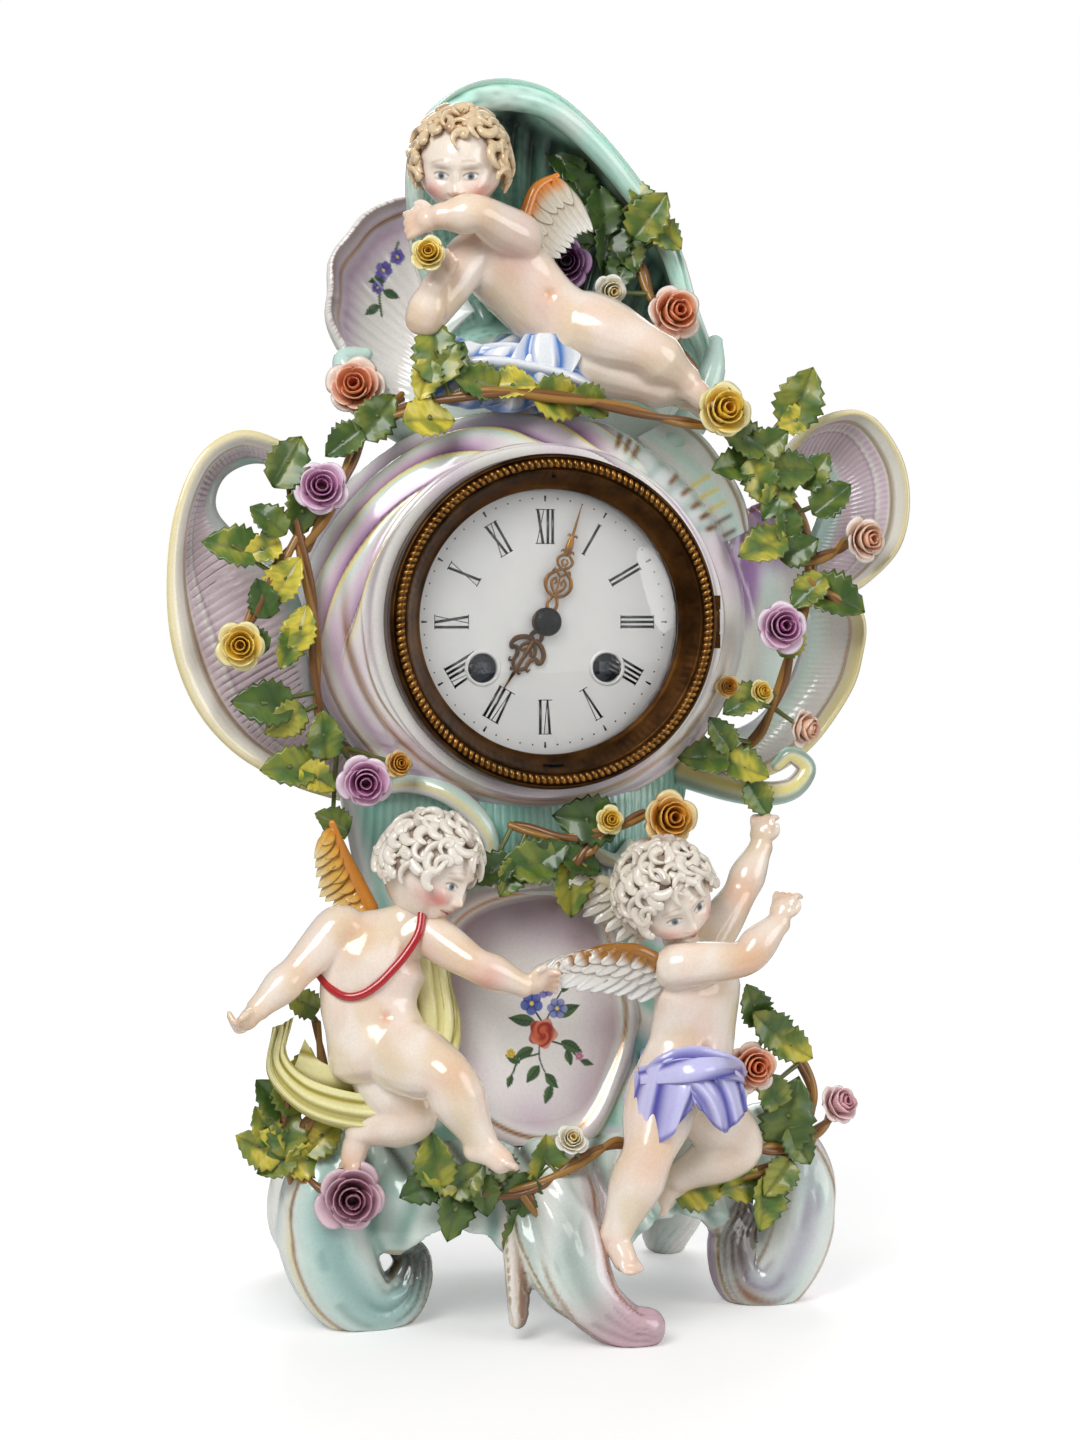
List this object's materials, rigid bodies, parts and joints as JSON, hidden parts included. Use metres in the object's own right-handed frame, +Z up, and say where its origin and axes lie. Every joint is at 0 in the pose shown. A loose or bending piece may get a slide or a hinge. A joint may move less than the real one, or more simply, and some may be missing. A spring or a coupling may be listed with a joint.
{
  "type": "porcelain mantel clock",
  "caption": "Scroll-cased porcelain mantel clock with cherubs, flower garlands, an opening glazed bezel, and a striking pendulum movement behind the dial.",
  "frame": {"origin": "middle of the outline in plan, on the table under the feet", "axes": "+Z up the case, -Y out of the dial toward the viewer, +X to the viewer's right"},
  "size_m": [0.2668, 0.1606, 0.4377],
  "materials": {
    "white_porcelain": "gloss",
    "lilac_glaze": "gloss",
    "mint_glaze": "gloss",
    "flesh_glaze": "gloss",
    "leaf_glaze": "gloss",
    "white_enamel": "gloss",
    "gilt_brass": "satin",
    "clock_brass": "satin",
    "steel": "satin",
    "clear_glass": "polished"
  },
  "bodies": {
    "case": {"case_body": "white_porcelain", "plinth": "white_porcelain", "left_scroll_wing": "lilac_glaze", "right_scroll_wing": "lilac_glaze", "crest_shell": "mint_glaze", "left_putto": "flesh_glaze", "right_putto": "flesh_glaze", "top_putto": "flesh_glaze", "left_garland": "leaf_glaze", "top_garland": "leaf_glaze", "crest_garland": "leaf_glaze", "right_garland": "leaf_glaze", "waist_swag": "leaf_glaze", "base_left_spray": "leaf_glaze", "base_centre_spray": "leaf_glaze", "base_right_spray": "leaf_glaze", "dial_ring": "gilt_brass", "dial": "white_enamel", "bezel_hinge": "gilt_brass", "front_plate": "clock_brass", "back_plate": "clock_brass", "suspension_cock": "clock_brass", "bell_stand": "steel", "bell": "clock_brass", "back_ring": "gilt_brass", "left_strap": "clock_brass", "right_strap": "clock_brass"},
    "front_bezel": {"bezel": "gilt_brass", "bezel_glass": "clear_glass"},
    "rear_door": {"back_door": "gilt_brass"},
    "minute_arbor": {"minute_hand": "gilt_brass", "hand_collet": "gilt_brass", "cannon_pinion": "clock_brass", "centre_wheel": "clock_brass"},
    "hour_pipe": {"hour_hand": "gilt_brass", "hour_wheel": "clock_brass"},
    "motion_wheel": {"minute_wheel": "clock_brass"},
    "going_barrel": {"going_barrel": "clock_brass"},
    "going_arbor": {"going_winding_arbor": "steel"},
    "second_arbor": {"second_wheel": "clock_brass"},
    "third_arbor": {"third_wheel": "clock_brass"},
    "escape_arbor": {"escape_wheel": "clock_brass"},
    "anchor": {"pallets_and_crutch": "steel"},
    "pendulum": {"pendulum_rod": "steel", "pendulum_bob": "clock_brass"},
    "strike_barrel": {"strike_barrel": "clock_brass"},
    "strike_arbor": {"strike_winding_arbor": "steel"},
    "count_arbor": {"count_wheel_arbor": "clock_brass"},
    "pin_arbor": {"pin_wheel": "clock_brass"},
    "fly_arbor": {"fly": "clock_brass"},
    "strike_hammer": {"hammer": "steel"}
  },
  "joints": [
    {"name": "bezel_swing", "type": "hinge", "parent": "case", "child": "front_bezel", "pos_m": [0.0578, -0.03494, 0.247], "axis": [0, 0, 1], "range_deg": [0, 95]},
    {"name": "back_door_swing", "type": "hinge", "parent": "case", "child": "rear_door", "pos_m": [0.0552, 0.07326, 0.247], "axis": [0, 0, -1], "range_deg": [0, 110]},
    {"name": "minute_turn", "type": "hinge", "parent": "case", "child": "minute_arbor", "pos_m": [-0.0018, 0.00226, 0.247], "axis": [0, 1, 0], "continuous": true},
    {"name": "hour_turn", "type": "hinge", "parent": "case", "child": "hour_pipe", "pos_m": [-0.0018, 0.00226, 0.247], "axis": [0, 1, 0], "continuous": true},
    {"name": "motion_turn", "type": "hinge", "parent": "case", "child": "motion_wheel", "pos_m": [0.0046, 0.00226, 0.25809], "axis": [0, 1, 0], "continuous": true},
    {"name": "second_turn", "type": "hinge", "parent": "case", "child": "second_arbor", "pos_m": [0.01722, 0.00226, 0.24951], "axis": [0, 1, 0], "continuous": true},
    {"name": "going_barrel_turn", "type": "hinge", "parent": "case", "child": "going_barrel", "pos_m": [0.0205, 0.00226, 0.2309], "axis": [0, 1, 0], "continuous": true},
    {"name": "going_winding", "type": "hinge", "parent": "case", "child": "going_arbor", "pos_m": [0.0205, 0.00226, 0.2309], "axis": [0, 1, 0], "continuous": true},
    {"name": "third_turn", "type": "hinge", "parent": "case", "child": "third_arbor", "pos_m": [-0.00636, 0.00226, 0.264], "axis": [0, 1, 0], "continuous": true},
    {"name": "escape_turn", "type": "hinge", "parent": "case", "child": "escape_arbor", "pos_m": [-0.0018, 0.00226, 0.27639], "axis": [0, 1, 0], "continuous": true},
    {"name": "pendulum_swing", "type": "hinge", "parent": "case", "child": "pendulum", "pos_m": [-0.0018, 0.03226, 0.28539], "axis": [0, 1, 0], "range_deg": [-4, 4]},
    {"name": "anchor_rock", "type": "hinge", "parent": "case", "child": "anchor", "pos_m": [-0.0018, 0.00226, 0.28379], "axis": [0, 1, 0], "range_deg": [-5, 5]},
    {"name": "pin_wheel_turn", "type": "hinge", "parent": "case", "child": "pin_arbor", "pos_m": [-0.02893, 0.00226, 0.26691], "axis": [0, 1, 0], "continuous": true},
    {"name": "count_turn", "type": "hinge", "parent": "case", "child": "count_arbor", "pos_m": [-0.02082, 0.00226, 0.24951], "axis": [0, 1, 0], "continuous": true},
    {"name": "strike_barrel_turn", "type": "hinge", "parent": "case", "child": "strike_barrel", "pos_m": [-0.0241, 0.00226, 0.2309], "axis": [0, 1, 0], "continuous": true},
    {"name": "strike_winding", "type": "hinge", "parent": "case", "child": "strike_arbor", "pos_m": [-0.0241, 0.00226, 0.2309], "axis": [0, 1, 0], "continuous": true},
    {"name": "fly_turn", "type": "hinge", "parent": "case", "child": "fly_arbor", "pos_m": [-0.02088, 0.00226, 0.27214], "axis": [0, 1, 0], "continuous": true},
    {"name": "hammer_strike", "type": "hinge", "parent": "case", "child": "strike_hammer", "pos_m": [0.0352, 0.03126, 0.259], "axis": [0, 1, 0], "range_deg": [0, 7], "stiffness_Nm_per_rad": 0.05, "springref_deg": -17.19}
  ],
  "couplings": [
    {"joint": "hour_turn", "follows": "minute_turn", "ratio": 0.083333},
    {"joint": "motion_turn", "follows": "minute_turn", "ratio": -0.33333},
    {"joint": "second_turn", "follows": "minute_turn", "ratio": -0.25},
    {"joint": "going_barrel_turn", "follows": "minute_turn", "ratio": 0.0625},
    {"joint": "third_turn", "follows": "minute_turn", "ratio": -4},
    {"joint": "escape_turn", "follows": "minute_turn", "ratio": 16},
    {"joint": "count_turn", "follows": "pin_wheel_turn", "ratio": -0.25},
    {"joint": "strike_barrel_turn", "follows": "pin_wheel_turn", "ratio": 0.0625},
    {"joint": "fly_turn", "follows": "pin_wheel_turn", "ratio": -4},
    {"joint": "anchor_rock", "follows": "pendulum_swing", "ratio": 1}
  ]
}
